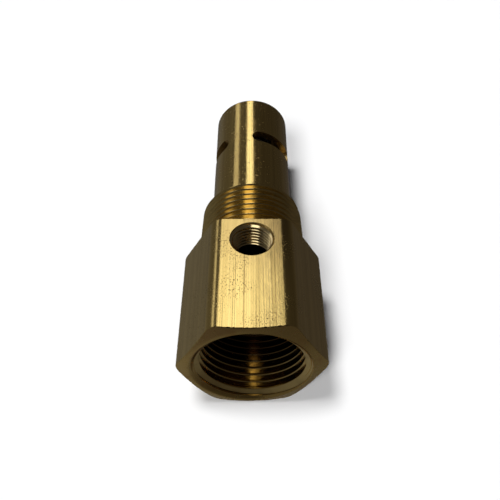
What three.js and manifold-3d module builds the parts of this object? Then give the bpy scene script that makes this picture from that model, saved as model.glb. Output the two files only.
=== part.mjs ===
// In-tank check valve for a compressor's air receiver, in brass.
//
// Air from the pump enters the tapered pipe thread in the hexagon, lifts a
// spring-loaded piston off its seat in the discharge tube and leaves through
// three slots into the tank. A small tapped port in one flat bleeds the pump's
// delivery line when the pump stops.
//
// Units are millimetres. The valve's axis lies along +Y: every axial station
// below is measured from the inlet face. The finished valve lies on one flat of
// its hexagon, at z = 0, with the middle of its length at the origin.

import * as THREE from "three";
import { mergeVertices } from "three/addons/utils/BufferGeometryUtils.js";
import Module from "manifold-3d";

const wasm = await Module();
wasm.setup();

// ---------------------------------------------------------------- dimensions

const INCH = 25.4;

// Hexagon
const HEX_AF = 30; // across flats
const HEX_CORNER_R = 3.4; // the drawn bar's rounded corners
const HEX_LENGTH = 31.25;
const CHAMFER_FACE_R = 13.5; // where the turned chamfer meets the inlet face
const CHAMFER_CENTRE = [-1, -0.4]; // x and z: it is cut deeper on the upper right
const CHAMFER_SLOPE = Math.tan(THREE.MathUtils.degToRad(18));

// Tapered pipe threads: 1 in 16 on diameter, so 1 in 32 on radius
const TAPER = 1 / 32;
const THREAD_HEIGHT = 0.8; // in pitches
const MAIN_PITCH = INCH / 14; // 3/4-14
const PORT_PITCH = INCH / 27; // 1/8-27

// Male thread that screws into the tank
const MALE_LENGTH = 14.65;
const MALE_NOSE_MEAN_R = 12.2; // pitch-line radius at the nose
const COLLAR_R = 13.45; // plain collar where the thread runs out at the shoulder
const COLLAR_T = 0.5;
const NOSE_R = 12.8; // where the nose's 45 degree edge meets its end face
const NOSE = HEX_LENGTH + MALE_LENGTH;

// Female inlet thread
const INLET_MEAN_R = 12.56; // pitch-line radius at the face
const INLET_THREAD_DEPTH = 16.5;
const INLET_MOUTH_R = 13.75; // countersink at the face
const PASSAGE_R = 8.4;
const DRILL_SLOPE = Math.tan(THREE.MathUtils.degToRad(31));

// Side port
const PORT_STATION = 25;
const PORT_MEAN_R = 4.7;
const PORT_MOUTH_R = 5.15;
const PORT_DRILL_R = 4.2;

// Joint between body and discharge tube
const SPIGOT_R = 9.5;
const SOCKET_R = 9.6;
const SOCKET_DEPTH = 10;
const WASHER_T = 1;
const JOINT_GAP = 0.1;

// Discharge tube
const TUBE_R = 10.5;
const TUBE_BORE_R = 7;
const CHAMBER_R = 8.8;
const TUBE_END = 85.5;
const SEAT_STATION = 63.4;
const SEAT_LIP_R = 7.5;
const SEAT_LIP_H = 0.8;
const EDGE_BREAK = 0.3;

// Outlet slots, cut round the tube with an end mill
const SLOT_COUNT = 3;
const SLOT_WIDTH = 4.2;
const SLOT_STATION = 68.5;
const SLOT_START = THREE.MathUtils.degToRad(1); // from the top, towards +X
const SLOT_SPAN = THREE.MathUtils.degToRad(80.7);

// Piston, closed
const SEAT_GAP = 0.05;
const LIFT = 6;
const FLANGE_R = 8.6;
const FLANGE_FRONT = 63.8;
const FLANGE_BACK = 66.6;
const STEM_R = 2.5;
const STEM_END = 76.6;
const DISC_R = 8;
const DISC_T = 1.85;
const DISC_WASHER_R = 4.6;
const DISC_WASHER_T = 0.6;
const SCREW_R = 1.5;
const SCREW_HEAD_R = 2.7;
const SCREW_HEAD_T = 1.5;
const SCREW_LENGTH = 8;
const BUMPER_R = 4.3;
const BUMPER_T = 1.5;
const RUN_GAP = 0.05;

// End plug with its guide boss
const PLUG_R = 8.7;
const PLUG_INNER = 79.4;
const PLUG_OUTER = 82.8;
const BOSS_R = 4.2;
const BOSS_TIP = FLANGE_BACK + BUMPER_T + LIFT + 0.1;
const GUIDE_R = 2.7;

// Internal retaining ring and its groove
const RING_GROOVE_R = 9.3;
const RING_R = 9.25;
const RING_INNER_R = 7.75;
const RING_T = 1;
const RING_GROOVE_T = 1.2;
const LUG_R = 1.55;
const LUG_HOLE_R = 0.75;
const LUG_ANGLE = THREE.MathUtils.degToRad(16); // each lug's place from the gap's middle

// Return spring
const WIRE_R = 0.5;
const COIL_R = 5.4;
const COIL_TURNS = 5.5;
const END_TURNS = 0.75; // close-wound turns at each end

// Facets round a full circle
const ROUND = 64;
const INNER_ROUND = 40;
const THREAD_ROUND = 32;
const PORT_ROUND = 24;

// ------------------------------------------------------------------- helpers

// Turns a closed three.js geometry into a manifold-3d solid that faces out.
function solid(geometry) {
  const bare = geometry.clone();
  for (const name of Object.keys(bare.attributes)) {
    if (name !== "position") bare.deleteAttribute(name);
  }
  const merged = mergeVertices(bare, 1e-4);
  const corners = Array.from(merged.index.array);
  const triangles = [];
  for (let i = 0; i < corners.length; i += 3) {
    const [a, b, c] = corners.slice(i, i + 3);
    if (a !== b && b !== c && c !== a) triangles.push(a, b, c);
  }
  const make = (triVerts) =>
    new wasm.Manifold(
      new wasm.Mesh({
        numProp: 3,
        vertProperties: new Float32Array(merged.attributes.position.array),
        triVerts: new Uint32Array(triVerts),
      }),
    );
  const made = make(triangles);
  return made.volume() > 0 ? made : make(triangles.reverse());
}

// Turns a manifold-3d solid back into a three.js geometry with flat faces.
function geometryOf(manifold) {
  const mesh = manifold.getMesh();
  const positions = new Float32Array(mesh.numVert * 3);
  for (let i = 0; i < mesh.numVert; i++) {
    const first = i * mesh.numProp;
    positions.set(mesh.vertProperties.subarray(first, first + 3), i * 3);
  }
  const geometry = new THREE.BufferGeometry();
  geometry.setAttribute("position", new THREE.BufferAttribute(positions, 3));
  geometry.setIndex(new THREE.BufferAttribute(mesh.triVerts, 1));
  const flat = geometry.toNonIndexed();
  flat.computeVertexNormals();
  return flat;
}

// A solid turned round the valve's axis, from [radius, station] pairs. The
// profile closes on itself, or starts and ends on the axis.
function turned(profile, segments = ROUND) {
  const points = profile.map(([r, y]) => new THREE.Vector2(r, y));
  const onAxis = profile[0][0] === 0 && profile.at(-1)[0] === 0;
  if (!onAxis) points.push(points[0].clone());
  return solid(new THREE.LatheGeometry(points, segments));
}

// A plain cylinder along the valve's axis.
function rod(radius, from, to, segments = ROUND) {
  return turned([[0, from], [radius, from], [radius, to], [0, to]], segments);
}

// A ring of rectangular section along the valve's axis.
function ring(inner, outer, from, to) {
  return turned([[inner, from], [outer, from], [outer, to], [inner, to]], INNER_ROUND);
}

// A flat shape drawn in the x-z plane, seen from the inlet, and given a thickness along +Y.
function plate(shape, from, thickness, curveSegments) {
  const geometry = new THREE.ExtrudeGeometry(shape, {
    depth: thickness,
    bevelEnabled: false,
    curveSegments,
  });
  geometry.rotateX(Math.PI / 2); // the shape's y becomes z, and its depth runs along -Y
  geometry.translate(0, from + thickness, 0);
  return solid(geometry);
}

// A rod with a right-hand tapered 60 degree thread along +Y. meanRadius(y) is
// its pitch-line radius. The rod overruns both stations, so cut it to length.
function threadedRod({ pitch, from, to, meanRadius, segments }) {
  const form = [
    { at: 0, height: -0.5 },
    { at: 0.06, height: -0.5 },
    { at: 0.5, height: 0.5 },
    { at: 0.56, height: 0.5 },
  ];
  const rows = form.length;
  const turns = Math.ceil((to - from) / pitch) + 2;
  const last = turns * rows;
  const start = from - pitch * 1.5;
  const depth = THREAD_HEIGHT * pitch;
  const positions = [];
  for (let i = 0; i < segments; i++) {
    const angle = (2 * Math.PI * i) / segments;
    for (let j = 0; j <= last; j++) {
      const { at, height } = form[j % rows];
      const y = start + pitch * (Math.floor(j / rows) + at + i / segments);
      const r = meanRadius(y) + height * depth;
      positions.push(r * Math.sin(angle), y, r * Math.cos(angle));
    }
  }
  const vertex = (i, j) => i * (last + 1) + j;
  const indices = [];
  for (let i = 0; i < segments; i++) {
    const wraps = i === segments - 1;
    const next = wraps ? 0 : i + 1;
    const shift = wraps ? rows : 0;
    for (let j = 0; j + shift < last; j++) {
      const a = vertex(i, j);
      const b = vertex(next, j + shift);
      indices.push(a, b, b + 1, a, b + 1, a + 1);
    }
  }
  // Each end is a fan round a centre: once along the rim, then along the step where the helix starts or stops.
  const rim = Array.from({ length: segments }, (_, i) => i);
  const step = Array.from({ length: rows }, (_, j) => j);
  const lowRim = [...rim.map((i) => vertex(i, 0)), ...step.map((j) => vertex(0, rows - j))];
  const highRim = [
    ...rim.map((i) => vertex(i, last)),
    ...step.map((j) => vertex(segments - 1, last - 1 - j)),
  ];
  const closeEnd = (loop, y, flip) => {
    const centre = positions.length / 3;
    positions.push(0, y, 0);
    loop.forEach((a, k) => {
      const b = loop[(k + 1) % loop.length];
      indices.push(...(flip ? [centre, a, b] : [centre, b, a]));
    });
  };
  closeEnd(lowRim, start - pitch, false);
  closeEnd(highRim, start + pitch * (turns + 2), true);
  const geometry = new THREE.BufferGeometry();
  geometry.setAttribute("position", new THREE.Float32BufferAttribute(positions, 3));
  geometry.setIndex(indices);
  return solid(geometry);
}

// ----------------------------------------------------------------- materials

const BRASS = { color: 0xb8964a, roughness: 0.32, metalness: 1 };
const STEEL = { color: 0xb9bcc0, roughness: 0.3, metalness: 1 };
const SPRING_STEEL = { color: 0x8f949a, roughness: 0.28, metalness: 1 };
const PTFE = { color: 0xe9e7df, roughness: 0.55, metalness: 0 };
const RUBBER = { color: 0x1c1c1d, roughness: 0.75, metalness: 0 };

function piece(name, manifold, finish) {
  const mesh = new THREE.Mesh(geometryOf(manifold), new THREE.MeshStandardMaterial(finish));
  mesh.name = name;
  return mesh;
}

// ---------------------------------------------------------------------- body

// A hexagon with rounded corners, lying on a flat.
function hexagonShape() {
  const cornerCentre = (HEX_AF / 2 - HEX_CORNER_R) / Math.cos(Math.PI / 6);
  const shape = new THREE.Shape();
  for (let k = 0; k < 6; k++) {
    const angle = (k * Math.PI) / 3;
    const x = cornerCentre * Math.cos(angle);
    const y = cornerCentre * Math.sin(angle);
    const half = Math.PI / 6;
    shape.absarc(x, y, HEX_CORNER_R, angle - half, angle + half, false);
  }
  return shape;
}

function maleThread() {
  const meanRadius = (y) => MALE_NOSE_MEAN_R + (NOSE - y) * TAPER;
  const rodded = threadedRod({
    pitch: MAIN_PITCH,
    from: HEX_LENGTH,
    to: NOSE,
    meanRadius,
    segments: THREAD_ROUND,
  });
  const crest = meanRadius(HEX_LENGTH) + MAIN_PITCH;
  const blank = turned(
    [
      [0, HEX_LENGTH - 1],
      [crest, HEX_LENGTH - 1],
      [crest, NOSE - (crest - NOSE_R)],
      [NOSE_R, NOSE],
      [0, NOSE],
    ],
    THREAD_ROUND,
  );
  return rodded.intersect(blank).add(rod(COLLAR_R, HEX_LENGTH - 1, HEX_LENGTH + COLLAR_T));
}

// Everything that is bored out of the body along its axis.
function bodyBore() {
  const meanRadius = (y) => INLET_MEAN_R - y * TAPER;
  const thread = threadedRod({
    pitch: MAIN_PITCH,
    from: 0,
    to: INLET_THREAD_DEPTH,
    meanRadius,
    segments: THREAD_ROUND,
  }).intersect(rod(HEX_AF, -1, INLET_THREAD_DEPTH, THREAD_ROUND));
  const drillR = meanRadius(INLET_THREAD_DEPTH) - (THREAD_HEIGHT * MAIN_PITCH) / 2;
  const coneEnd = INLET_THREAD_DEPTH + 0.5 + (drillR - PASSAGE_R) * DRILL_SLOPE;
  const passage = turned([
    [0, -1],
    [INLET_MOUTH_R + 1, -1],
    [INLET_MOUTH_R - 1.4, 1.4],
    [drillR - 0.6, 2.6],
    [drillR, INLET_THREAD_DEPTH - 0.1],
    [drillR, INLET_THREAD_DEPTH + 0.5],
    [PASSAGE_R, coneEnd],
    [PASSAGE_R, NOSE - SOCKET_DEPTH],
    [SOCKET_R, NOSE - SOCKET_DEPTH],
    [SOCKET_R, NOSE + 1],
    [0, NOSE + 1],
  ]);
  return thread.add(passage);
}

// The side port, as a cutter: built along +Y, then turned to point up.
function portBore() {
  const flat = HEX_AF / 2;
  const floor = PASSAGE_R - 1.5;
  const meanRadius = (y) => PORT_MEAN_R - (flat - y) * TAPER;
  const thread = threadedRod({
    pitch: PORT_PITCH,
    from: PASSAGE_R,
    to: flat,
    meanRadius,
    segments: PORT_ROUND,
  }).intersect(rod(PORT_MOUTH_R + 1, floor, flat + 0.5, PORT_ROUND));
  const mouth = turned(
    [
      [0, floor],
      [PORT_DRILL_R, floor],
      [PORT_DRILL_R, flat - PORT_MOUTH_R + PORT_DRILL_R],
      [PORT_MOUTH_R + 1, flat + 1],
      [0, flat + 1],
    ],
    PORT_ROUND,
  );
  return thread.add(mouth).rotate([90, 0, 0]).translate([0, PORT_STATION, 0]);
}

function inletBody() {
  const [x, z] = CHAMFER_CENTRE;
  const reach = HEX_AF; // clear of the hexagon's corners
  const chamfered = turned([
    [0, 0],
    [CHAMFER_FACE_R, 0],
    [reach, (reach - CHAMFER_FACE_R) * CHAMFER_SLOPE],
    [reach, HEX_LENGTH],
    [0, HEX_LENGTH],
  ]).translate([x, 0, z]);
  const hexagon = plate(hexagonShape(), 0, HEX_LENGTH, 5).intersect(chamfered);
  return hexagon.add(maleThread()).subtract(bodyBore()).subtract(portBore());
}

// ------------------------------------------------------------ discharge tube

function slotCutter(index) {
  const inner = CHAMBER_R - 1;
  const outer = TUBE_R + 1;
  const from = SLOT_START + (index * 2 * Math.PI) / SLOT_COUNT;
  const endAngle = SLOT_WIDTH / 2 / TUBE_R; // the cutter's radius, seen from the axis
  const a0 = from + endAngle;
  const a1 = from + SLOT_SPAN - endAngle;
  const arc = new THREE.Shape();
  const turn = (angle) => Math.PI / 2 - angle; // angles here run from the top towards +X
  arc.absarc(0, 0, outer, turn(a0), turn(a1), true);
  arc.absarc(0, 0, inner, turn(a1), turn(a0), false);
  let cutter = plate(arc, SLOT_STATION - SLOT_WIDTH / 2, SLOT_WIDTH, 6);
  for (const angle of [a0, a1]) {
    const end = rod(SLOT_WIDTH / 2, inner, outer, 20)
      .rotate([90, 0, 0])
      .rotate([0, THREE.MathUtils.radToDeg(angle), 0])
      .translate([0, SLOT_STATION, 0]);
    cutter = cutter.add(end);
  }
  return cutter;
}

function dischargeTube() {
  const shoulder = NOSE + JOINT_GAP;
  const spigotEnd = NOSE - SOCKET_DEPTH + WASHER_T + 2 * JOINT_GAP;
  const seatFloor = SEAT_STATION - SEAT_LIP_H;
  const grooveFrom = PLUG_OUTER + JOINT_GAP;
  let tube = turned([
    [TUBE_BORE_R, spigotEnd],
    [SPIGOT_R - EDGE_BREAK, spigotEnd],
    [SPIGOT_R, spigotEnd + EDGE_BREAK],
    [SPIGOT_R, shoulder],
    [TUBE_R, shoulder],
    [TUBE_R, TUBE_END - EDGE_BREAK],
    [TUBE_R - EDGE_BREAK, TUBE_END],
    [CHAMBER_R + 0.3, TUBE_END],
    [CHAMBER_R, TUBE_END - 0.3],
    [CHAMBER_R, grooveFrom + RING_GROOVE_T],
    [RING_GROOVE_R, grooveFrom + RING_GROOVE_T],
    [RING_GROOVE_R, grooveFrom],
    [CHAMBER_R, grooveFrom],
    [CHAMBER_R, seatFloor],
    [SEAT_LIP_R, seatFloor],
    [SEAT_LIP_R, SEAT_STATION],
    [TUBE_BORE_R, SEAT_STATION],
  ]);
  for (let k = 0; k < SLOT_COUNT; k++) tube = tube.subtract(slotCutter(k));
  return tube;
}

// ---------------------------------------------------------- moving valve set

const DISC_FRONT = SEAT_STATION + SEAT_GAP;
const DISC_BACK = DISC_FRONT + DISC_T;
const WASHER_FRONT = DISC_FRONT - RUN_GAP - DISC_WASHER_T;
const HEAD_FRONT = WASHER_FRONT - RUN_GAP - SCREW_HEAD_T;
const SCREW_TIP = HEAD_FRONT + SCREW_LENGTH;
const SCREW_HOLE_R = SCREW_R + 0.1;

function piston() {
  const recessFloor = DISC_BACK + RUN_GAP;
  const recessR = DISC_R + RUN_GAP;
  const holeEnd = SCREW_TIP + 0.5;
  return turned([
    [0, holeEnd],
    [SCREW_HOLE_R, holeEnd],
    [SCREW_HOLE_R, recessFloor],
    [recessR, recessFloor],
    [recessR, FLANGE_FRONT],
    [FLANGE_R - 0.2, FLANGE_FRONT],
    [FLANGE_R, FLANGE_FRONT + 0.2],
    [FLANGE_R, FLANGE_BACK - 0.4],
    [FLANGE_R - 0.4, FLANGE_BACK],
    [STEM_R, FLANGE_BACK],
    [STEM_R, STEM_END - EDGE_BREAK],
    [STEM_R - EDGE_BREAK, STEM_END],
    [0, STEM_END],
  ], INNER_ROUND);
}

function discScrew() {
  const slotWidth = 0.7;
  const slotDepth = 0.7;
  const body = turned(
    [
      [0, HEAD_FRONT],
      [SCREW_HEAD_R - 0.5, HEAD_FRONT],
      [SCREW_HEAD_R, HEAD_FRONT + 0.5],
      [SCREW_HEAD_R, HEAD_FRONT + SCREW_HEAD_T],
      [SCREW_R, HEAD_FRONT + SCREW_HEAD_T],
      [SCREW_R, SCREW_TIP - 0.4],
      [SCREW_R - 0.4, SCREW_TIP],
      [0, SCREW_TIP],
    ],
    INNER_ROUND,
  );
  const slot = new THREE.BoxGeometry(2 * SCREW_HEAD_R + 1, 2 * slotDepth, slotWidth);
  slot.translate(0, HEAD_FRONT, 0);
  return body.subtract(solid(slot));
}

// -------------------------------------------------------------------- spring

// The wire's centreline: close-wound at both ends, open in between.
class CoilCurve extends THREE.Curve {
  constructor(from, to) {
    super();
    this.from = from;
    this.to = to;
  }
  getPoint(t, target = new THREE.Vector3()) {
    const turn = t * COIL_TURNS;
    const closed = 2 * WIRE_R + 0.05;
    const openRise = this.to - this.from - 2 * END_TURNS * closed;
    const openTurns = COIL_TURNS - 2 * END_TURNS;
    const low = Math.min(turn, END_TURNS) * closed;
    const middle = (THREE.MathUtils.clamp(turn - END_TURNS, 0, openTurns) / openTurns) * openRise;
    const high = Math.max(turn - END_TURNS - openTurns, 0) * closed;
    const angle = 2 * Math.PI * turn;
    return target.set(
      COIL_R * Math.sin(angle),
      this.from + low + middle + high,
      COIL_R * Math.cos(angle),
    );
  }
}

function returnSpring() {
  const section = new THREE.Shape();
  section.absarc(0, 0, WIRE_R, 0, 2 * Math.PI, false);
  const geometry = new THREE.ExtrudeGeometry(section, {
    steps: COIL_TURNS * 16,
    curveSegments: 4,
    extrudePath: new CoilCurve(
      FLANGE_BACK + WIRE_R + JOINT_GAP,
      PLUG_INNER - WIRE_R - JOINT_GAP,
    ),
  });
  return solid(geometry);
}

// ------------------------------------------------------------------- end set

function endPlug() {
  return turned([
    [GUIDE_R, BOSS_TIP],
    [BOSS_R - 0.4, BOSS_TIP],
    [BOSS_R, BOSS_TIP + 0.4],
    [BOSS_R, PLUG_INNER],
    [PLUG_R - 0.4, PLUG_INNER],
    [PLUG_R, PLUG_INNER + 0.4],
    [PLUG_R, PLUG_OUTER - 0.4],
    [PLUG_R - 0.4, PLUG_OUTER],
    [GUIDE_R + 0.6, PLUG_OUTER],
    [GUIDE_R, PLUG_OUTER - 0.6],
  ], INNER_ROUND);
}

// A C-shaped ring with two drilled lugs, its gap at the bottom.
function retainingRing() {
  const from = PLUG_OUTER + JOINT_GAP + (RING_GROOVE_T - RING_T) / 2;
  const gap = LUG_ANGLE / 2;
  const down = -Math.PI / 2;
  const outline = new THREE.Shape();
  outline.absarc(0, 0, RING_R, down + gap, down - gap + 2 * Math.PI, false);
  outline.absarc(0, 0, RING_INNER_R, down - gap + 2 * Math.PI, down + gap, true);
  let made = plate(outline, from, RING_T, 24);
  const lugAt = RING_INNER_R - LUG_R * 0.55;
  for (const side of [-1, 1]) {
    const angle = side * LUG_ANGLE;
    const x = lugAt * Math.sin(angle);
    const z = -lugAt * Math.cos(angle);
    const lug = rod(LUG_R, from, from + RING_T, 24).translate([x, 0, z]);
    const hole = rod(LUG_HOLE_R, from - 1, from + RING_T + 1, 16).translate([x, 0, z]);
    made = made.add(lug).subtract(hole);
  }
  return made;
}

// ------------------------------------------------------------------ assembly

const valve = new THREE.Group();
valve.name = "in_tank_check_valve";
valve.position.set(0, -TUBE_END / 2, HEX_AF / 2);

const washerFrom = NOSE - SOCKET_DEPTH + JOINT_GAP;
valve.add(
  piece("inlet_body", inletBody(), BRASS),
  piece("discharge_tube", dischargeTube(), BRASS),
  piece("tube_seal_washer", ring(TUBE_BORE_R + 0.2, SPIGOT_R, washerFrom, washerFrom + WASHER_T), PTFE),
  piece("piston", piston(), BRASS),
  piece("seat_disc", ring(SCREW_HOLE_R, DISC_R, DISC_FRONT, DISC_BACK), PTFE),
  piece(
    "disc_washer",
    ring(SCREW_HOLE_R, DISC_WASHER_R, WASHER_FRONT, WASHER_FRONT + DISC_WASHER_T),
    STEEL,
  ),
  piece("disc_screw", discScrew(), STEEL),
  piece(
    "stop_bumper",
    ring(STEM_R + RUN_GAP, BUMPER_R, FLANGE_BACK + RUN_GAP, FLANGE_BACK + BUMPER_T),
    RUBBER,
  ),
  piece("return_spring", returnSpring(), SPRING_STEEL),
  piece("end_plug", endPlug(), BRASS),
  piece("retaining_ring", retainingRing(), SPRING_STEEL),
);

export default valve;
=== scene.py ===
"""Looks of the in-tank check valve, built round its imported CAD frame.

Shapes are made in millimetres in the valve's own coordinates: the axis is x = z = 0, the
inlet face is y = 0 and the discharge tube's free end is the far end of y. finish_piece()
puts each of them into the frame, in metres.
"""

import math

import bmesh
import bpy
import numpy as np
from mathutils import Matrix, Vector, noise


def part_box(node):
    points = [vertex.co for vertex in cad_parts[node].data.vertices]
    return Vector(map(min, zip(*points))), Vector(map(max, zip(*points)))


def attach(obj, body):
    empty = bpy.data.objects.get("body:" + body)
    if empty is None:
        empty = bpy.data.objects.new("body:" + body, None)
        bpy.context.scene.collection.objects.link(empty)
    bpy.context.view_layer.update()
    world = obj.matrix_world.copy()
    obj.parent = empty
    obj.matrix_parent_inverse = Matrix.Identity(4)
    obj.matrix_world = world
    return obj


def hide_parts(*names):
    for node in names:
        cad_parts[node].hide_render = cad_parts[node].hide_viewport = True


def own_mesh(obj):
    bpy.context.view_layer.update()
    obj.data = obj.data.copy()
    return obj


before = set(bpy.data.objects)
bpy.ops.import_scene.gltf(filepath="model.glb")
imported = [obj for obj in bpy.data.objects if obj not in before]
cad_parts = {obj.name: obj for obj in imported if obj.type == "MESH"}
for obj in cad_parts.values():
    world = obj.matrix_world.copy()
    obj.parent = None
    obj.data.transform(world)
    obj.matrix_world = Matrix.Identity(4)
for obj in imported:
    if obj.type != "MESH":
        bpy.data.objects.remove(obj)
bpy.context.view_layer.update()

# ------------------------------------------------------------------ dimensions
# Lengths are in millimetres, and places along the axis are from the inlet face.

MM = 0.001
INCH = 25.4

body_low, body_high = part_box("inlet_body")
INLET_Y = body_low.y
AXIS_Z = (body_low.z + body_high.z) / 2


def station(y):
    """A place along the frame's Y, in metres, as millimetres from the inlet face."""
    return (y - INLET_Y) / MM


def span(node):
    """Where a CAD node starts and ends along the axis, and its radius, in millimetres."""
    low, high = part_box(node)
    return station(low.y), station(high.y), (high.x - low.x) / 2 / MM


TUBE_START, TUBE_END, TUBE_R = span("discharge_tube")
SPRING_START, SPRING_END, SPRING_R = span("return_spring")
PLUG_START, PLUG_END, PLUG_R = span("end_plug")
RING_START, RING_END, RING_R = span("retaining_ring")
PISTON_START, PISTON_END, PISTON_R = span("piston")
SCREW_START, SCREW_END, SCREW_R = span("disc_screw")
_, DISC_END, DISC_R = span("seat_disc")

HEX_AF = (body_high.z - body_low.z) / MM
HEX_CORNER_R = 3.4
HEX_LENGTH = 31.25
CHAMFER_FACE_R = 13.5  # where the chamfer meets the flat inlet face
CHAMFER_SLOPE = math.tan(math.radians(18))
CHAMFER_CENTRE = (-1, -0.4)  # x and z: it is cut deeper on the upper right
EDGE = 0.09  # how far a sharp edge is broken
NICK = 0.24  # scales the nicks in the hexagon's edges

NOSE = station(body_high.y)
TAPER = 1 / 32  # how fast a pipe thread's radius changes
THREAD_HEIGHT = 0.8  # in pitches
MAIN_PITCH = INCH / 14
PORT_PITCH = INCH / 27
MALE_NOSE_MEAN_R = 12.2  # of the thread at the nose, between root and crest
NOSE_R = 12.8  # where the nose's 45 degree edge meets its end face
COLLAR_R = 13.42
COLLAR_T = 0.4
INLET_MEAN_R = 12.56  # of the thread at the inlet face
INLET_THREAD_DEPTH = 16.5
INLET_MOUTH_R = 13.75
PASSAGE_R = 8.4
DRILL_SLOPE = math.tan(math.radians(31))  # of the cone at the foot of the inlet thread

PORT_STATION = 25
PORT_MEAN_R = 4.7  # of the thread at the flat
PORT_MOUTH_R = 5.15
PORT_DRILL_R = 4.2

SOCKET_R = 9.6
SOCKET_DEPTH = 10
SPIGOT_R = 9.5
TUBE_SHOULDER = NOSE + 0.1
TUBE_BORE_R = 7
CHAMBER_R = 8.8
SEAT_STATION = 63.4
SEAT_LIP_R = 7.5
SEAT_LIP_H = 0.8
RING_GROOVE_R = 9.3
RING_GROOVE_T = 1.2
GROOVE_START = PLUG_END + 0.1

SCREW_HOLE_R = 1.6

SLOT_COUNT = 3
SLOT_WIDTH = 4.2
SLOT_STATION = 68.5
SLOT_START = math.radians(1)  # an angle from straight up, turning to the right
SLOT_SPAN = math.radians(80.7)

# Facets round a turned surface.
ROUND = 192
THREAD_ROUND = 160
PORT_ROUND = 96
SMALL_ROUND = 96
LUG_ROUND = 48

EASED_POINTS = 5  # points that eased() makes of a corner, two of them before it
SHARP_ANGLE = math.radians(34)  # an edge that turns more than this isn't shaded smooth
OVERRUN = 1  # how far a tool runs past the face that it cuts

# Thread form over one pitch: where along the pitch, and how high between root and crest.
THREAD_FORM = [
    (0.00, -0.50),
    (0.05, -0.46),
    (0.10, -0.35),
    (0.38, 0.33),
    (0.43, 0.44),
    (0.48, 0.50),
    (0.54, 0.50),
    (0.59, 0.44),
    (0.64, 0.33),
    (0.92, -0.35),
    (0.96, -0.46),
]

# ------------------------------------------------------------------- materials

BRASS = (0.90, 0.665, 0.245)
FRONT = INLET_Y / MM  # the inlet face, in the millimetres that the finishes work in


class Nodes:
    """Shader nodes being added to a tree."""

    def __init__(self, tree):
        self.tree = tree

    def node(self, kind, **settings):
        made = self.tree.nodes.new(kind)
        for name, value in settings.items():
            setattr(made, name, value)
        return made

    def feed(self, socket, value):
        """Links a socket to a value, or sets it. A colour of three numbers gets its alpha."""
        if isinstance(value, bpy.types.NodeSocket):
            self.tree.links.new(value, socket)
        elif socket.type == "RGBA":
            socket.default_value = (*value, 1)
        else:
            socket.default_value = value

    def vector(self, operation, a, b=(0.0, 0.0, 0.0), result="Vector"):
        made = self.node("ShaderNodeVectorMath", operation=operation)
        self.feed(made.inputs[0], a)
        self.feed(made.inputs[1], b)
        return made.outputs[result]

    def maths(self, operation, a, b):
        made = self.node("ShaderNodeMath", operation=operation)
        self.feed(made.inputs[0], a)
        self.feed(made.inputs[1], b)
        return made.outputs[0]

    def spread(self, value, low, high, to_low=0.0, to_high=1.0):
        """Maps low..high smoothly onto to_low..to_high, and holds it there outside."""
        made = self.node("ShaderNodeMapRange", interpolation_type="SMOOTHSTEP")
        self.feed(made.inputs["Value"], value)
        made.inputs["From Min"].default_value = low
        made.inputs["From Max"].default_value = high
        made.inputs["To Min"].default_value = to_low
        made.inputs["To Max"].default_value = to_high
        return made.outputs["Result"]

    def mix(self, factor, a, b):
        """Colour a where factor is 0, and colour b where it is 1."""
        made = self.node("ShaderNodeMix", data_type="RGBA")
        factor_in, a_in, b_in = made.inputs[0], made.inputs[6], made.inputs[7]
        self.feed(factor_in, factor)
        self.feed(a_in, a)
        self.feed(b_in, b)
        return made.outputs[2]

    def parts(self, vector):
        """A vector's X, Y and Z."""
        made = self.node("ShaderNodeSeparateXYZ")
        self.feed(made.inputs[0], vector)
        return tuple(made.outputs)


class Finish(Nodes):
    """A material being built from shader nodes. Its coordinates are the frame's, in
    millimetres, because each piece's object sits at the origin."""

    def __init__(self, name, color, metallic=1.0):
        self.material = bpy.data.materials.new(name)
        self.material.use_nodes = True
        super().__init__(self.material.node_tree)
        self.shader = self.tree.nodes["Principled BSDF"]
        self.color(color)
        self.shader.inputs["Metallic"].default_value = metallic
        metres = self.node("ShaderNodeTexCoord").outputs["Object"]
        self.place = self.vector("MULTIPLY", metres, (1 / MM,) * 3)

    def noise(self, scale, detail=3.0, rough=0.5, where=None):
        """Noise from 0 to 1. scale is in cycles per millimetre, one number or one per axis."""
        stretch = scale if isinstance(scale, tuple) else (scale,) * 3
        made = self.node("ShaderNodeTexNoise")
        self.feed(made.inputs["Vector"], self.vector("MULTIPLY", where or self.place, stretch))
        made.inputs["Scale"].default_value = 1.0
        made.inputs["Detail"].default_value = detail
        made.inputs["Roughness"].default_value = rough
        return made.outputs["Fac"]

    def axes(self):
        """The three coordinates apart, in millimetres."""
        return self.parts(self.place)

    def radius(self):
        """Distance from the valve's axis, in millimetres."""
        offset = self.vector("SUBTRACT", self.place, (0.0, 0.0, AXIS_Z / MM))
        across = self.vector("MULTIPLY", offset, (1.0, 0.0, 1.0))
        return self.vector("LENGTH", across, result="Value")

    def along(self, value):
        """A vector that changes only with one value, for rings that follow that value."""
        made = self.node("ShaderNodeCombineXYZ")
        self.feed(made.inputs[0], value)
        return made.outputs[0]

    def relief(self, *layers):
        """Bumps the surface. Each layer is (height from 0 to 1, depth in millimetres)."""
        normal = None
        for height, depth in layers:
            bump = self.node("ShaderNodeBump")
            bump.inputs["Strength"].default_value = 1.0
            bump.inputs["Distance"].default_value = depth * MM
            self.feed(bump.inputs["Height"], height)
            if normal is not None:
                self.feed(bump.inputs["Normal"], normal)
            normal = bump.outputs["Normal"]
        self.feed(self.shader.inputs["Normal"], normal)

    def color(self, value):
        self.feed(self.shader.inputs["Base Color"], value)

    def roughness(self, value):
        self.feed(self.shader.inputs["Roughness"], value)


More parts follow.
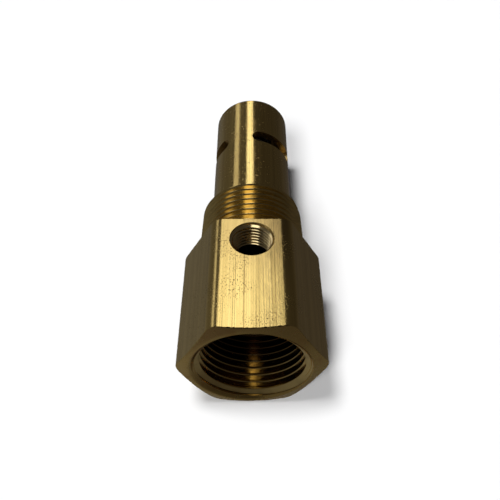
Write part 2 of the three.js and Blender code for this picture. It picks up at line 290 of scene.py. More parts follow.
def drawn_bar():
    """The hexagon's flats: brass drawn through a die, with streaks along Y, pits and stains."""
    f = Finish("drawn_bar_brass", BRASS)
    streaks = f.noise((7.0, 0.02, 7.0), detail=4, rough=0.55)
    bands = f.noise((0.9, 0.015, 0.9), detail=2)
    scores = f.spread(f.noise((4.5, 0.012, 4.5), detail=1), 0.66, 0.73)
    stains = f.noise((0.25, 0.12, 0.25), detail=6, rough=0.65)
    pitted = f.spread(f.noise(0.13, detail=3), 0.46, 0.62)
    pits = f.maths("MULTIPLY", f.spread(f.noise((4.0, 2.2, 4.0), detail=2), 0.58, 0.69), pitted)
    tone = f.maths("ADD", f.maths("MULTIPLY", streaks, 0.5), f.maths("MULTIPLY", bands, 0.5))
    base = f.mix(f.spread(tone, 0.38, 0.62), (0.72, 0.525, 0.18), BRASS)
    base = f.mix(f.spread(stains, 0.48, 0.74, 0, 0.5), base, (0.66, 0.47, 0.17))
    base = f.mix(f.maths("MULTIPLY", scores, 0.6), base, (0.40, 0.26, 0.08))
    # The flat with the port is tarnished towards the shoulder, more on its right.
    x, y, z = f.axes()
    rightward = f.spread(x, -7, 7, 0.5, 1)
    shoulder = f.maths("MULTIPLY", f.spread(y, FRONT + 6, FRONT + 30), rightward)
    top_flat = f.spread(z, HEX_AF - 1.0, HEX_AF - 0.1, 0, 0.9)
    base = f.mix(f.maths("MULTIPLY", shoulder, top_flat), base, (0.40, 0.28, 0.11))
    f.color(f.mix(f.maths("MULTIPLY", pits, 0.6), base, (0.30, 0.19, 0.06)))
    rough = f.spread(streaks, 0.35, 0.68, 0.21, 0.14)
    f.roughness(f.maths("ADD", rough, f.maths("MULTIPLY", pits, 0.15)))
    grain = f.noise((11.0, 1.2, 11.0), detail=4, rough=0.7)
    dents = f.noise((0.5, 0.35, 0.5), detail=3, rough=0.55)
    worn = f.maths("SUBTRACT", 1.0, f.maths("MAXIMUM", pits, scores))
    f.relief((streaks, 0.006), (grain, 0.003), (dents, 0.02), (worn, 0.012))
    return f.material


def turned_face():
    """Faces cut on the lathe square to the axis, or nearly: fine rings round it."""
    f = Finish("turned_brass", BRASS)
    rings = f.noise((6.0, 0.0, 0.0), detail=4, rough=0.7, where=f.along(f.radius()))
    stains = f.noise(0.3, detail=5, rough=0.62)
    base = f.mix(f.spread(rings, 0.3, 0.7), (0.76, 0.52, 0.175), (0.90, 0.64, 0.225))
    base = f.mix(f.spread(stains, 0.48, 0.72, 0, 0.55), base, (0.66, 0.37, 0.12))
    # An oxide film darkens the chamfer's upper corners, more on the left.
    x, _, z = f.axes()
    corners = f.maths("MULTIPLY", f.spread(z, 19, 28), f.spread(f.radius(), 13.9, 14.6))
    film = f.maths("MULTIPLY", corners, f.spread(x, -7, 3, 0.75, 0.1))
    f.color(f.mix(film, base, (0.52, 0.31, 0.12)))
    f.roughness(f.spread(stains, 0.3, 0.7, 0.22, 0.36))
    f.relief((rings, 0.01), (f.noise(4.0, detail=3), 0.002))
    return f.material


def cut_thread(name, color, rough, painted_shade_span=None):
    """Thread flanks: rings of tool chatter, and faint tarnish. The last argument is a pair of
    stations between which the colour goes from bright to dark: painted shade deeper in the bore."""
    f = Finish(name, color)
    _, y, _ = f.axes()
    chatter = f.noise((9.0, 0.0, 0.0), detail=3, where=f.along(y))
    blotches = f.noise(0.45, detail=5, rough=0.6)
    base = f.mix(f.spread(blotches, 0.42, 0.72), color, tuple(0.78 * c for c in color))
    if painted_shade_span:
        bright, dark = painted_shade_span
        # painted shade: the flanks darken towards the deep end of the bore
        base = f.mix(f.spread(y, FRONT + bright, FRONT + dark), base, (0.15, 0.085, 0.035))
    f.color(base)
    f.roughness(f.spread(blotches, 0.35, 0.7, rough, rough + 0.09))
    f.relief((chatter, 0.004), (f.noise((1.2, 1.2, 1.2), detail=3, rough=0.5), 0.006))
    return f.material


def bored(name, color, stained):
    """Drilled walls, rough and stained, in a dark colour that is painted shade."""
    f = Finish(name, color)
    stains = f.noise(0.5, detail=4)
    # both colours are dark as painted shade inside the bores; the noise between them is stains
    f.color(f.mix(stains, color, stained))
    f.roughness(f.spread(stains, 0.3, 0.7, 0.28, 0.45))
    f.relief((f.noise((1.0, 14.0, 1.0), detail=3), 0.01))
    return f.material


def drawn_tube():
    """The discharge tube's outside: smooth drawn brass with faint streaks and specks."""
    f = Finish("drawn_tube_brass", BRASS)
    streaks = f.noise((3.4, 0.02, 3.4), detail=5, rough=0.6)
    stains = f.noise((0.22, 0.12, 0.22), detail=5, rough=0.62)
    specks = f.spread(f.noise((1.9, 1.5, 1.9), detail=3, rough=0.6), 0.63, 0.71)
    base = f.mix(f.spread(streaks, 0.35, 0.66), (0.68, 0.49, 0.17), BRASS)
    base = f.mix(f.spread(stains, 0.5, 0.75, 0, 0.45), base, (0.72, 0.47, 0.16))
    f.color(f.mix(f.maths("MULTIPLY", specks, 0.6), base, (0.32, 0.20, 0.07)))
    rough = f.spread(stains, 0.35, 0.7, 0.11, 0.17)
    f.roughness(f.maths("ADD", rough, f.maths("MULTIPLY", specks, 0.2)))
    ripple = f.noise((0.9, 0.5, 0.9), detail=4, rough=0.6)
    pitted = f.maths("SUBTRACT", 1.0, specks)
    f.relief((streaks, 0.003), (ripple, 0.02), (pitted, 0.015))
    return f.material


def milled():
    """The walls of the outlet slots, left by an end mill."""
    f = Finish("milled_brass", (0.58, 0.42, 0.17))
    marks = f.noise((6.0, 6.0, 6.0), detail=3, rough=0.6)
    f.color(f.mix(f.spread(marks, 0.35, 0.7), (0.42, 0.29, 0.11), (0.66, 0.48, 0.20)))
    f.roughness(f.spread(marks, 0.3, 0.7, 0.22, 0.4))
    f.relief((marks, 0.01))
    return f.material


def plain_turned(name, color, low=0.22, high=0.36):
    """A small turned part: rings round the axis and a slight mottle."""
    f = Finish(name, color)
    _, y, _ = f.axes()
    rings = f.noise((9.0, 0.0, 0.0), detail=3, where=f.along(y))
    mottle = f.noise(1.2, detail=4, rough=0.6)
    f.color(f.mix(f.spread(mottle, 0.35, 0.7), color, tuple(0.8 * c for c in color)))
    f.roughness(f.spread(mottle, 0.3, 0.7, low, high))
    f.relief((rings, 0.006), (f.noise(5.0, detail=3), 0.003))
    return f.material


def moulded(name, color, rough, mottle):
    """PTFE or rubber: soft, with a faint mottle and a fine pebble."""
    f = Finish(name, color, 0.0)
    patches = f.noise(0.9, detail=4)
    f.color(f.mix(patches, color, tuple(c * mottle for c in color)))
    f.roughness(f.spread(patches, 0.3, 0.7, rough, rough + 0.12))
    f.relief((f.noise(7.0, detail=3), 0.006))
    return f.material


# Every operand of a join or a cut carries the same list, so a face keeps its finish.
BODY_FINISHES = [
    drawn_bar(),
    turned_face(),
    cut_thread("male_thread_brass", (0.80, 0.59, 0.225), 0.13),
    # the inlet thread darkens from 4.5 to 12.5 mm deep: painted shade
    cut_thread("female_thread_brass", (0.88, 0.65, 0.26), 0.13, (4.5, 12.5)),
    # the passage's dark brass is painted shade
    bored("painted_shade_bored_brass", (0.17, 0.10, 0.04), (0.10, 0.06, 0.025)),
    cut_thread("port_thread_brass", (0.93, 0.73, 0.38), 0.10),
]
DRAWN, TURNED, MALE, FEMALE, BORED, PORT = range(len(BODY_FINISHES))
TUBE_FINISHES = [
    drawn_tube(),
    BODY_FINISHES[TURNED],
    milled(),
    # the tube's chamber walls: dark brass as painted shade, seen through the slots
    bored("painted_shade_bore_brass", (0.20, 0.125, 0.045), (0.10, 0.06, 0.02)),
]
TUBE_SIDE, TUBE_TURNED, TUBE_MILLED, TUBE_BORED = range(len(TUBE_FINISHES))
INNER_BRASS = plain_turned("inner_brass", (0.42, 0.29, 0.11))
PLUG_BRASS = plain_turned("plug_brass", (0.86, 0.64, 0.26))
STAINLESS = plain_turned("stainless_steel", (0.62, 0.62, 0.61))
SPRING_STEEL = plain_turned("spring_steel", (0.47, 0.47, 0.48), low=0.18, high=0.3)
PTFE = moulded("white_ptfe", (0.82, 0.80, 0.75), 0.42, 0.9)
RUBBER = moulded("black_rubber", (0.022, 0.022, 0.024), 0.62, 1.6)

# ---------------------------------------------------------------------- solids


def add(name, data):
    """Puts a new object into the scene."""
    made = bpy.data.objects.new(name, data)
    bpy.context.scene.collection.objects.link(made)
    return made


def solid(name, vertices, faces, finishes, slots):
    """A mesh object whose faces look outwards. slots holds each face's place in finishes."""
    mesh = bpy.data.meshes.new(name)
    mesh.from_pydata(vertices, [], faces)
    made = add(name, mesh)
    for finish in finishes:
        mesh.materials.append(finish)
    mesh.polygons.foreach_set("material_index", slots)
    shape = bmesh.new()
    shape.from_mesh(mesh)
    bmesh.ops.recalc_face_normals(shape, faces=shape.faces)
    if shape.calc_volume(signed=True) < 0:
        bmesh.ops.reverse_faces(shape, faces=shape.faces)
    shape.to_mesh(mesh)
    shape.free()
    return made


def cap(vertices, faces, rim, centre):
    """Closes a rim of vertex numbers with triangles that meet in a new vertex, centre."""
    vertices.append(centre)
    hub = len(vertices) - 1
    faces.extend((hub, a, b) for a, b in zip(rim, rim[1:] + rim[:1]))


def loft(name, loops, finishes, slots=0, cyclic=False):
    """A closed solid through loops of equally many points. slots holds one finish for each band
    between loops, or one for all. cyclic joins the last loop to the first, otherwise flat caps
    close the ends."""
    count = len(loops[0])
    vertices = [point for loop in loops for point in loop]
    bands = len(loops) if cyclic else len(loops) - 1
    slots = [slots] * bands if isinstance(slots, int) else slots
    faces, ids = [], []
    for k in range(bands):
        a, b = k * count, ((k + 1) % len(loops)) * count
        for i in range(count):
            j = (i + 1) % count
            faces.append((a + i, a + j, b + j, b + i))
            ids.append(slots[k])
    if not cyclic:
        faces.append(tuple(range(count - 1, -1, -1)))
        faces.append(tuple(range(len(vertices) - count, len(vertices))))
        ids += [slots[0], slots[-1]]
    return solid(name, vertices, faces, finishes, ids)


def turned(name, profile, finishes, slots=0, segments=ROUND, cyclic=False):
    """A solid turned round the axis from (radius, station) pairs."""
    angles = [2 * math.pi * i / segments for i in range(segments)]
    loops = [[(r * math.sin(a), y, r * math.cos(a)) for a in angles] for r, y in profile]
    return loft(name, loops, finishes, slots, cyclic)


def rectangle(inner, outer, start, end):
    """The section of a plain ring, as a profile."""
    return [(inner, start), (outer, start), (outer, end), (inner, end)]


def eased(profile, cyclic=False, bevel=EDGE):
    """Rounds each corner of a profile with a small break and holds the faces beside it flat.
    A corner becomes EASED_POINTS points, and its break takes at most a fifth of a face."""
    made = []
    count = len(profile)
    for k, (r, y) in enumerate(profile):
        if not cyclic and k in (0, count - 1):
            made.append((r, y))
            continue
        here = np.array((r, y))
        before = np.array(profile[k - 1]) - here
        after = np.array(profile[(k + 1) % count]) - here
        reach = min(bevel, np.linalg.norm(before) / 5, np.linalg.norm(after) / 5)
        before = before / np.linalg.norm(before)
        after = after / np.linalg.norm(after)
        steps = (
            before * reach * 2,
            before * reach,
            (before + after) * reach * 0.3,
            after * reach,
            after * reach * 2,
        )
        made += [tuple(here + step) for step in steps]
    return made


def threaded_rod(name, pitch, start, end, mean_radius, segments, finishes, slot):
    """A right-hand taper-threaded rod that overruns both stations; cut it to length. Each
    lengthwise row of vertices follows THREAD_FORM, and starts a little further on than the
    row before, so the last row joins the first one pitch further on."""
    rows = len(THREAD_FORM)
    turns = math.ceil((end - start) / pitch) + 2
    last = turns * rows
    first = start - pitch * 1.5
    depth = THREAD_HEIGHT * pitch
    vertices = []
    for i in range(segments):
        angle = 2 * math.pi * i / segments
        for j in range(last + 1):
            at, height = THREAD_FORM[j % rows]
            y = first + pitch * (j // rows + at + i / segments)
            r = mean_radius(y) + height * depth
            vertices.append((r * math.sin(angle), y, r * math.cos(angle)))

    def vertex(i, j):
        return i * (last + 1) + j

    faces = []
    for i in range(segments):
        wraps = i == segments - 1
        following = 0 if wraps else i + 1
        shift = rows if wraps else 0
        for j in range(last - shift):
            a, b = vertex(i, j), vertex(following, j + shift)
            faces.append((a, b, b + 1, a + 1))
    low_rim = [vertex(i, 0) for i in range(segments)]
    low_rim += [vertex(0, rows - j) for j in range(rows)]
    high_rim = [vertex(i, last) for i in range(segments)]
    high_rim += [vertex(segments - 1, last - 1 - j) for j in range(rows)]
    cap(vertices, faces, low_rim, (0, first - pitch, 0))
    cap(vertices, faces, high_rim, (0, first + pitch * (turns + 2), 0))
    return solid(name, vertices, faces, finishes, [slot] * len(faces))


def combine(target, tool, operation):
    """Joins tool to target, cuts it out of it, or keeps what both share. tool is used up."""
    cut = target.modifiers.new("combine", "BOOLEAN")
    cut.operation = operation
    cut.solver = "MANIFOLD"
    cut.material_mode = "INDEX"
    cut.object = tool
    bpy.context.view_layer.update()
    graph = bpy.context.evaluated_depsgraph_get()
    result = bpy.data.meshes.new_from_object(target.evaluated_get(graph))
    if not result.polygons:
        raise RuntimeError(f"{operation} left nothing of {target.name}")
    target.modifiers.clear()
    target.data = result
    bpy.data.objects.remove(tool)
    return target


def finish_piece(piece, node, body):
    """Puts a piece into the frame, shades it and lets it stand for its CAD node."""
    shape = bmesh.new()
    shape.from_mesh(piece.data)
    for face in shape.faces:
        face.smooth = True
    for edge in shape.edges:
        edge.smooth = len(edge.link_faces) == 2 and edge.calc_face_angle() < SHARP_ANGLE
    shape.transform(Matrix.Translation((0, INLET_Y, AXIS_Z)) @ Matrix.Scale(MM, 4))
    shape.to_mesh(piece.data)
    shape.free()
    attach(piece, body)
    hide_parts(node)
    return piece


# ------------------------------------------------------------------------ body


def hexagon_outline():
    """Points round the hexagon, each with its outward normal, as (x, z, nx, nz)."""
    corner_steps, flat_steps = 16, 44
    # From the axis to a corner's centre, and from one corner's centre to the next.
    centre = (HEX_AF / 2 - HEX_CORNER_R) / math.cos(math.pi / 6)
    points = []
    for k in range(6):
        middle = k * math.pi / 3
        cx, cz = centre * math.cos(middle), centre * math.sin(middle)
        for i in range(corner_steps + 1):
            a = middle + math.pi / 3 * (i / corner_steps - 0.5)
            nx, nz = math.cos(a), math.sin(a)
            points.append((cx + HEX_CORNER_R * nx, cz + HEX_CORNER_R * nz, nx, nz))
        a = middle + math.pi / 6
        nx, nz = math.cos(a), math.sin(a)
        start_x, start_z = points[-1][:2]
        for i in range(1, flat_steps):
            go = centre * i / flat_steps
            points.append((start_x - nz * go, start_z + nx * go, nx, nz))
    return points


def nick(x, z, y, seed):
    """How far an edge is worn back at a point. Most of it isn't."""
    fine = noise.noise(Vector((x * 2.3, y * 2.3 + seed, z * 2.3)))
    coarse = noise.noise(Vector((x * 0.5, y * 0.5 - seed, z * 0.5)))
    return NICK * max(0.0, fine + 0.5 * coarse - 0.1)


def chamfer(x, z):
    """How far behind the inlet face the chamfer is."""
    cx, cz = CHAMFER_CENTRE
    return max(0.0, (math.hypot(x - cx, z - cz) - CHAMFER_FACE_R) * CHAMFER_SLOPE)


def hexagon():
    """The bar's outside, closed at both ends: the bore opens them. Its loops go from inside
    the chamfer, over both broken edges, to inside the back face."""
    hold = 0.12  # from a broken edge to the loop that holds the flat beside it
    rings = 7  # loops across the chamfer
    chamfer_start, back_inside = 0.8, 0.82  # the end loops, as a share of the outline
    front_seed, back_seed = 3.1, 7.7
    loops = [[] for _ in range(rings + 7)]
    for x, z, nx, nz in hexagon_outline():
        near = EDGE + nick(x, z, 0, front_seed)
        far = EDGE * 0.7 + nick(x, z, HEX_LENGTH, back_seed)
        edge_x, edge_z = x - nx * near, z - nz * near
        points = []
        for k in range(rings):
            part = chamfer_start + (1 - chamfer_start) * k / (rings - 1)
            px, pz = edge_x * part, edge_z * part
            points.append((px, chamfer(px, pz), pz))
        front = chamfer(x, z)
        points += [
            (x, front + near, z),
            (x, front + near + hold, z),
            (x, HEX_LENGTH - far - hold, z),
            (x, HEX_LENGTH - far, z),
            (x - nx * far, HEX_LENGTH, z - nz * far),
            (x - nx * (far + hold), HEX_LENGTH, z - nz * (far + hold)),
            (x * back_inside, HEX_LENGTH, z * back_inside),
        ]
        for loop, point in zip(loops, points):
            loop.append(point)
    slots = [TURNED] * (rings - 1) + [DRAWN] * 5 + [TURNED] * 2
    return loft("inlet_body_brass", loops, BODY_FINISHES, slots)


def male_thread():
    """The threaded nose, and the plain collar where its thread runs out at the hexagon."""

    def mean_radius(y):
        return MALE_NOSE_MEAN_R + (NOSE - y) * TAPER

    rod = threaded_rod(
        "male", MAIN_PITCH, HEX_LENGTH, NOSE, mean_radius, THREAD_ROUND, BODY_FINISHES, MALE
    )
    inside = HEX_LENGTH - OVERRUN
    clear = mean_radius(HEX_LENGTH) + MAIN_PITCH
    profile = [(clear, inside), (clear, NOSE - (clear - NOSE_R)), (NOSE_R, NOSE)]
    combine(rod, turned("blank", profile, BODY_FINISHES, MALE, THREAD_ROUND), "INTERSECT")
    profile = [(COLLAR_R, inside), (COLLAR_R, HEX_LENGTH + COLLAR_T)]
    return combine(rod, turned("collar", profile, BODY_FINISHES, MALE), "UNION")


def body_bore():
    """A tool of the shape of everything that is bored and threaded along the axis."""

    def mean_radius(y):
        return INLET_MEAN_R - y * TAPER

    depth = INLET_THREAD_DEPTH
    thread = threaded_rod(
        "female", MAIN_PITCH, 0, depth, mean_radius, THREAD_ROUND, BODY_FINISHES, FEMALE
    )
    profile = [(HEX_AF, -OVERRUN), (HEX_AF, depth)]
    blank = turned("blank", profile, BODY_FINISHES, FEMALE, THREAD_ROUND)
    combine(thread, blank, "INTERSECT")
    mouth = INLET_MOUTH_R
    drill = mean_radius(depth) - THREAD_HEIGHT * MAIN_PITCH / 2
    cone_start = depth + 0.5
    cone_end = cone_start + (drill - PASSAGE_R) * DRILL_SLOPE
    socket_floor = NOSE - SOCKET_DEPTH
    profile = [
        # the broken edge of the mouth
        (mouth + OVERRUN + EDGE, -OVERRUN),
        (mouth + EDGE, 0),
        (mouth - EDGE, EDGE),
        # the countersink, and the step down to the thread's root
        (mouth - 0.42, 0.34),
        (mouth - 0.46, 0.44),
        (mouth - 0.8, 0.75),
        (mouth - 1.05, 1.0),
        # the drilled hole, inside the thread
        (drill - 0.6, 1.7),
        (drill, depth - 0.1),
        (drill, cone_start),
        # the passage, and the socket for the tube's spigot
        (PASSAGE_R, cone_end),
        (PASSAGE_R, socket_floor),
        (SOCKET_R, socket_floor),
        (SOCKET_R, NOSE - 0.2),
        (SOCKET_R + 1.2, NOSE + OVERRUN),
    ]
    slots = [TURNED] * 6 + [FEMALE] + [BORED] * 7
    return combine(thread, turned("passage", profile, BODY_FINISHES, slots), "UNION")


def port_bore():
    """A tool of the shape of the side port, made along Y and then stood up."""
    flat = HEX_AF / 2
    bottom = PASSAGE_R - 1.5

    def mean_radius(y):
        return PORT_MEAN_R - (flat - y) * TAPER

    thread = threaded_rod(
        "port", PORT_PITCH, PASSAGE_R, flat, mean_radius, PORT_ROUND, BODY_FINISHES, PORT
    )
    wide = PORT_MOUTH_R + OVERRUN
    blank = [(wide, bottom), (wide, flat + 0.5)]
    combine(thread, turned("blank", blank, BODY_FINISHES, PORT, PORT_ROUND), "INTERSECT")
    profile = [
        (PORT_DRILL_R, bottom),
        (PORT_DRILL_R, flat - PORT_MOUTH_R + PORT_DRILL_R),
        (PORT_MOUTH_R, flat),
        (wide, flat + OVERRUN),
    ]
    mouth = turned("mouth", profile, BODY_FINISHES, [PORT, TURNED, TURNED], PORT_ROUND)
    combine(thread, mouth, "UNION")
    upright = Matrix.Rotation(math.pi / 2, 4, "X")
    thread.data.transform(Matrix.Translation((0, PORT_STATION, 0)) @ upright)
    return thread


def inlet_body():
    body = combine(hexagon(), male_thread(), "UNION")
    combine(body, body_bore(), "DIFFERENCE")
    combine(body, port_bore(), "DIFFERENCE")
    return finish_piece(body, "inlet_body", "housing")


# -------------------------------------------------------------- discharge tube


def slot_cutter(index):
    """A stadium wrapped round the tube, through its wall."""
    start = SLOT_START + index * 2 * math.pi / SLOT_COUNT
    half = SLOT_WIDTH / 2
    lead = half / TUBE_R
    near, far = start + lead, start + SLOT_SPAN - lead
    end_steps, side_steps = 24, 40
    rim = []
    for here, there, sense in ((far, near, 1), (near, far, -1)):
        for i in range(end_steps + 1):
            turn = math.pi * (i / end_steps - 0.5)
            rim.append((here + sense * lead * math.cos(turn), sense * half * math.sin(turn)))
        for i in range(1, side_steps):
            rim.append((here + (there - here) * i / side_steps, sense * half))
    count = len(rim)
    radii = (CHAMBER_R - OVERRUN, TUBE_R + 2 * OVERRUN)
    vertices = [
        (r * math.sin(angle), SLOT_STATION + y, r * math.cos(angle))
        for r in radii
        for angle, y in rim
    ]
    middle = start + SLOT_SPAN / 2
    faces = []
    for k, r in enumerate(radii):
        edge = list(range(k * count, (k + 1) * count))
        cap(vertices, faces, edge, (r * math.sin(middle), SLOT_STATION, r * math.cos(middle)))
    faces += [(i, (i + 1) % count, count + (i + 1) % count, count + i) for i in range(count)]
    return solid("slot_cutter", vertices, faces, TUBE_FINISHES, [TUBE_MILLED] * len(faces))


def discharge_tube():
    lip_floor = SEAT_STATION - SEAT_LIP_H
    mouth = 0.3  # its chamfer
    profile = [
        (TUBE_BORE_R, TUBE_START),
        (SPIGOT_R, TUBE_START),
        (SPIGOT_R, TUBE_SHOULDER),
        (TUBE_R, TUBE_SHOULDER),
        (TUBE_R, TUBE_END),
        (CHAMBER_R + mouth, TUBE_END),
        (CHAMBER_R, TUBE_END - mouth),
        (CHAMBER_R, GROOVE_START + RING_GROOVE_T),
        (RING_GROOVE_R, GROOVE_START + RING_GROOVE_T),
        (RING_GROOVE_R, GROOVE_START),
        (CHAMBER_R, GROOVE_START),
        (CHAMBER_R, lip_floor),
        (SEAT_LIP_R, lip_floor),
        (SEAT_LIP_R, SEAT_STATION),
        (TUBE_BORE_R, SEAT_STATION),
    ]
    finish = [TUBE_TURNED] * 3 + [TUBE_SIDE] + [TUBE_TURNED] * 2 + [TUBE_BORED] * 9
    slots = []
    for k in range(len(profile)):
        slots += [finish[k - 1]] * 2 + [finish[k]] * (EASED_POINTS - 2)
    tube = turned("discharge_tube_brass", eased(profile, True), TUBE_FINISHES, slots, cyclic=True)
    for index in range(SLOT_COUNT):
        combine(tube, slot_cutter(index), "DIFFERENCE")
    return finish_piece(tube, "discharge_tube", "housing")


# --------------------------------------------------------------- inside pieces


def ring(name, node, inner, body, material, bevel=EDGE):
    """A plain ring that fills its CAD node's box, with eased edges."""
    start, end, outer = span(node)
    profile = eased(rectangle(inner, outer, start, end), True, bevel)
    made = turned(name, profile, [material], 0, SMALL_ROUND, True)
    return finish_piece(made, node, body)


def piston():
    """The valve head, with a recess for the seat disc and a hole for its screw, and the stem."""
    start, end, flange = PISTON_START, PISTON_END, PISTON_R
    back = start + 2.8
    stem = 2.5
    clearance = 0.05
    recess, recess_floor = DISC_R + clearance, DISC_END + clearance
    front_edge, back_edge, stem_edge = 0.2, 0.4, 0.5
    profile = [
        (SCREW_HOLE_R, SCREW_END + 0.5),
        (SCREW_HOLE_R, recess_floor),
        (recess, recess_floor),
        (recess, start),
        (flange - front_edge, start),
        (flange, start + front_edge),
        (flange, back - back_edge),
        (flange - back_edge, back),
        (stem, back),
        (stem, end - stem_edge),
        (stem - stem_edge, end),
    ]
    made = turned("piston_brass", eased(profile), [INNER_BRASS], 0, SMALL_ROUND)
    return finish_piece(made, "piston", "valve_piston")


def disc_screw():
    """A screw with a slotted head."""
    start, end, head = SCREW_START, SCREW_END, SCREW_R
    under_head = start + 1.5
    shank = 1.5
    head_edge, tip_edge = 0.5, 0.4
    profile = [
        (head - head_edge, start),
        (head, start + head_edge),
        (head, under_head),
        (shank, under_head),
        (shank, end - tip_edge),
        (shank - tip_edge, end),
    ]
    made = turned("disc_screw_steel", eased(profile), [STAINLESS], 0, SMALL_ROUND)
    half_width, depth, reach = 0.35, 0.7, head + OVERRUN
    corners = rectangle(-reach, reach, -half_width, half_width)
    loops = [[(x, start + y, z) for x, z in corners] for y in (-depth, depth)]
    combine(made, loft("driver_slot", loops, [STAINLESS]), "DIFFERENCE")
    return finish_piece(made, "disc_screw", "valve_piston")


def return_spring():
    """Round wire, close-wound for a little at each end."""
    turns, end_turns = 5.5, 0.75
    wire, sides, steps = 0.5, 14, 36
    coil = SPRING_R - wire
    start, end = SPRING_START + wire, SPRING_END - wire
    closed_pitch = 2 * wire + 0.05
    open_turns = turns - 2 * end_turns
    rise = end - start - 2 * end_turns * closed_pitch
    climb = rise / open_turns / (2 * math.pi * coil)
    loops = []
    for i in range(round(turns * steps) + 1):
        turn = i / steps
        y = start + min(turn, end_turns) * closed_pitch
        y += min(max(turn - end_turns, 0), open_turns) / open_turns * rise
        y += max(turn - end_turns - open_turns, 0) * closed_pitch
        angle = 2 * math.pi * turn
        out = Vector((math.sin(angle), 0, math.cos(angle)))
        ahead = Vector((math.cos(angle), climb, -math.sin(angle)))
        across = out.cross(ahead.normalized())
        centre = out * coil + Vector((0, y, 0))
        loops.append([
            tuple(centre + (out * math.cos(b) + across * math.sin(b)) * wire)
            for b in (2 * math.pi * s / sides for s in range(sides))
        ])
    made = loft("return_spring_steel", loops, [SPRING_STEEL])
    finish_piece(made, "return_spring", "housing")
    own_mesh(made)
    return made


def end_plug():
    """A disc that closes the tube, with a boss that guides the piston's stem."""
    start, end, outer = PLUG_START, PLUG_END, PLUG_R
    inner = end - 3.4
    boss, guide = 4.2, 2.7
    edge, flare = 0.4, 0.6
    profile = [
        (guide, start),
        (boss - edge, start),
        (boss, start + edge),
        (boss, inner),
        (outer - edge, inner),
        (outer, inner + edge),
        (outer, end - edge),
        (outer - edge, end),
        (guide + flare, end),
        (guide, end - flare),
    ]
    made = turned("end_plug_brass", eased(profile, True), [PLUG_BRASS], 0, SMALL_ROUND, True)
    return finish_piece(made, "end_plug", "housing")


def retaining_ring():
    """The CAD ring's outline again with more points and eased edges, and two drilled lugs."""
    start, end, outer = RING_START, RING_END, RING_R
    inner = outer - 1.5
    lug, lug_angle, hole = 1.55, math.radians(16), 0.75
    gap = lug_angle / 2
    steps = 150
    section = eased(rectangle(inner, outer, start, end), True, 0.05)
    loops = []
    for i in range(steps + 1):
        a = math.pi + gap + (2 * math.pi - 2 * gap) * i / steps
        loops.append([(r * math.sin(a), y, r * math.cos(a)) for r, y in section])
    made = loft("retaining_ring_steel", loops, [SPRING_STEEL])
    lug_at = inner - lug * 0.55
    for side in (-1, 1):
        angle = math.pi + side * lug_angle
        spot = Matrix.Translation((lug_at * math.sin(angle), 0, lug_at * math.cos(angle)))
        for radius, extra, operation in ((lug, 0, "UNION"), (hole, OVERRUN, "DIFFERENCE")):
            ends = [(radius, start - extra), (radius, end + extra)]
            tool = turned("lug", ends, [SPRING_STEEL], 0, LUG_ROUND)
            tool.data.transform(spot)
            combine(made, tool, operation)
    return finish_piece(made, "retaining_ring", "housing")


inlet_body()
discharge_tube()
piston()
disc_screw()
return_spring()
end_plug()
retaining_ring()
ring("tube_seal_washer_ptfe", "tube_seal_washer", TUBE_BORE_R + 0.2, "housing", PTFE)
ring("seat_disc_ptfe", "seat_disc", SCREW_HOLE_R, "valve_piston", PTFE)
ring("disc_washer_steel", "disc_washer", SCREW_HOLE_R, "valve_piston", STAINLESS)
ring("stop_bumper_rubber", "stop_bumper", 2.55, "valve_piston", RUBBER, bevel=0.3)

# ----------------------------------------------------------------------- stage

# Solved from the photo's outline and edges. Angles are in degrees.
CAMERA_AZIMUTH = 0.48
CAMERA_ELEVATION = 48.25
CAMERA_ROLL = -0.58
CAMERA_DISTANCE = 153.63
CAMERA_AIM = (-0.54, 34.86, 0)  # in the valve's own coordinates
CAMERA_LENS = 43.16
SENSOR = 36.0
CLIP_START = 0.005

STRIP_HEIGHT = 0.8  # above the floor, in metres
SUN_ANGLE = math.radians(18)
FLOOR_HALF_SIZE = 3.0
FLOOR_WHITE = (0.93, 0.93, 0.93)
BACKDROP_WHITE = (1.0, 1.0, 1.0)
SHADOW_FILL = (0.05, 0.05, 0.055)


def camera():
    a, e, r = (math.radians(v) for v in (CAMERA_AZIMUTH, CAMERA_ELEVATION, CAMERA_ROLL))
    back = Vector((math.sin(a) * math.cos(e), -math.cos(a) * math.cos(e), math.sin(e)))
    right = Vector((0, 0, 1)).cross(back).normalized()
    up = back.cross(right)
    rolled_right = right * math.cos(r) + up * math.sin(r)
    rolled_up = up * math.cos(r) - right * math.sin(r)
    data = bpy.data.cameras.new("camera")
    data.lens = CAMERA_LENS
    data.sensor_width = SENSOR
    data.clip_start = CLIP_START
    x, y, z = CAMERA_AIM
    aim = Vector((x * MM, y * MM + INLET_Y, z * MM + AXIS_Z))
    turn = Matrix((rolled_right, rolled_up, back)).transposed()
    made = add("camera", data)
    made.matrix_world = Matrix.Translation(aim + back * CAMERA_DISTANCE * MM) @ turn.to_4x4()
    bpy.context.scene.camera = made


def strip_light(name, low, high, power):
    """A long ceiling strip over the valve, from low to high (x, y) in metres, seen only in
    reflections. power is for each square metre."""
    data = bpy.data.lights.new(name, "AREA")
    data.shape = "RECTANGLE"
    data.size = high[0] - low[0]
    data.size_y = high[1] - low[1]
    data.energy = power * data.size * data.size_y
    made = add(name, data)
    made.location = ((low[0] + high[0]) / 2, (low[1] + high[1]) / 2, STRIP_HEIGHT)
    made.visible_diffuse = False
    made.visible_camera = False


def floor_light(name, towards, strength):
    """A soft light in the direction towards, which lights the floor with this strength and
    throws a shadow. Brass doesn't reflect it."""
    data = bpy.data.lights.new(name, "SUN")
    data.energy = strength / towards[2]
    data.angle = SUN_ANGLE
    made = add(name, data)
    made.rotation_euler = Vector(towards).to_track_quat("Z", "Y").to_euler()
    made.visible_glossy = False


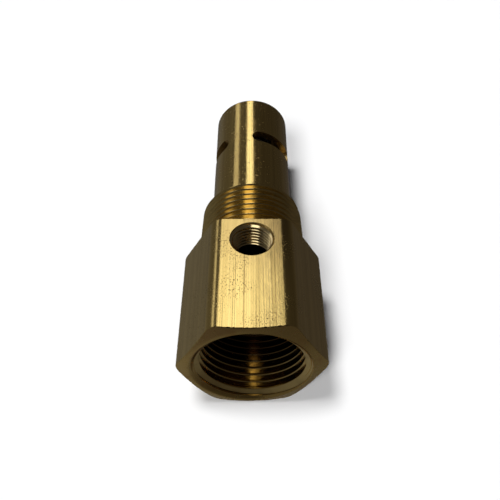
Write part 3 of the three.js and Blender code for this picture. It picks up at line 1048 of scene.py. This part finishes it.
def floor():
    half = FLOOR_HALF_SIZE
    corners = [(-half, -half, 0), (half, -half, 0), (half, half, 0), (-half, half, 0)]
    mesh = bpy.data.meshes.new("floor")
    mesh.from_pydata(corners, [], [(0, 1, 2, 3)])
    made = add("floor", mesh)
    paper = bpy.data.materials.new("floor_paper")
    paper.use_nodes = True
    shader = paper.node_tree.nodes["Principled BSDF"]
    shader.inputs["Base Color"].default_value = (*FLOOR_WHITE, 1)
    shader.inputs["Roughness"].default_value = 0.9
    shader.inputs["Specular IOR Level"].default_value = 0.0
    mesh.materials.append(paper)
    made.visible_glossy = False


def surroundings():
    """A dim warm room for the brass to reflect, a little fill light for the floor's shadows,
    and plain white behind the floor."""
    world = bpy.data.worlds.new("room")
    bpy.context.scene.world = world
    world.use_nodes = True
    w = Nodes(world.node_tree)
    w.tree.nodes.clear()

    def background(color):
        made = w.node("ShaderNodeBackground")
        w.feed(made.inputs["Color"], color)
        return made.outputs[0]

    def choose(factor, a, b):
        made = w.node("ShaderNodeMixShader")
        for socket, value in zip(made.inputs, (factor, a, b)):
            w.feed(socket, value)
        return made.outputs[0]

    # The room, by the direction that a ray leaves in: darker on the right than on the left.
    direction = w.node("ShaderNodeTexCoord").outputs["Generated"]
    x, _, z = w.parts(direction)
    rightward = w.spread(x, -0.6, 0.45)
    walls = w.mix(rightward, (0.085, 0.080, 0.072), (0.035, 0.031, 0.027))
    ground = w.mix(rightward, (0.115, 0.113, 0.112), (0.050, 0.045, 0.042))
    deep = w.mix(rightward, (0.155, 0.152, 0.148), (0.090, 0.088, 0.085))
    ground = w.mix(w.spread(z, -0.5, -0.8), ground, deep)
    room = w.mix(w.spread(z, 0.0, -0.35), walls, ground)
    # Whoever holds the camera is a dark patch, high up in front of the inlet.
    facing = w.vector("DOT_PRODUCT", direction, (0, -0.55, 0.83), result="Value")
    room = w.mix(w.spread(facing, 0.88, 0.97), room, (0.012, 0.009, 0.006))

    ray = w.node("ShaderNodeLightPath").outputs
    light = choose(ray["Is Glossy Ray"], background(SHADOW_FILL), background(room))
    light = choose(ray["Is Camera Ray"], light, background(BACKDROP_WHITE))
    w.feed(w.node("ShaderNodeOutputWorld").inputs["Surface"], light)


camera()
strip_light("overhead_strip", (-0.216, -0.35), (0.052, 1.36), 4.45)
strip_light("left_strip", (-1.16, -0.35), (-0.68, 2.1), 1.85)
floor_light("floor_light_front", (-0.27, -0.64, 0.72), 1.35)
floor_light("floor_light_back", (-0.25, 0.05, 0.97), 1.95)
floor()
surroundings()
bpy.context.scene.view_settings.view_transform = "Standard"
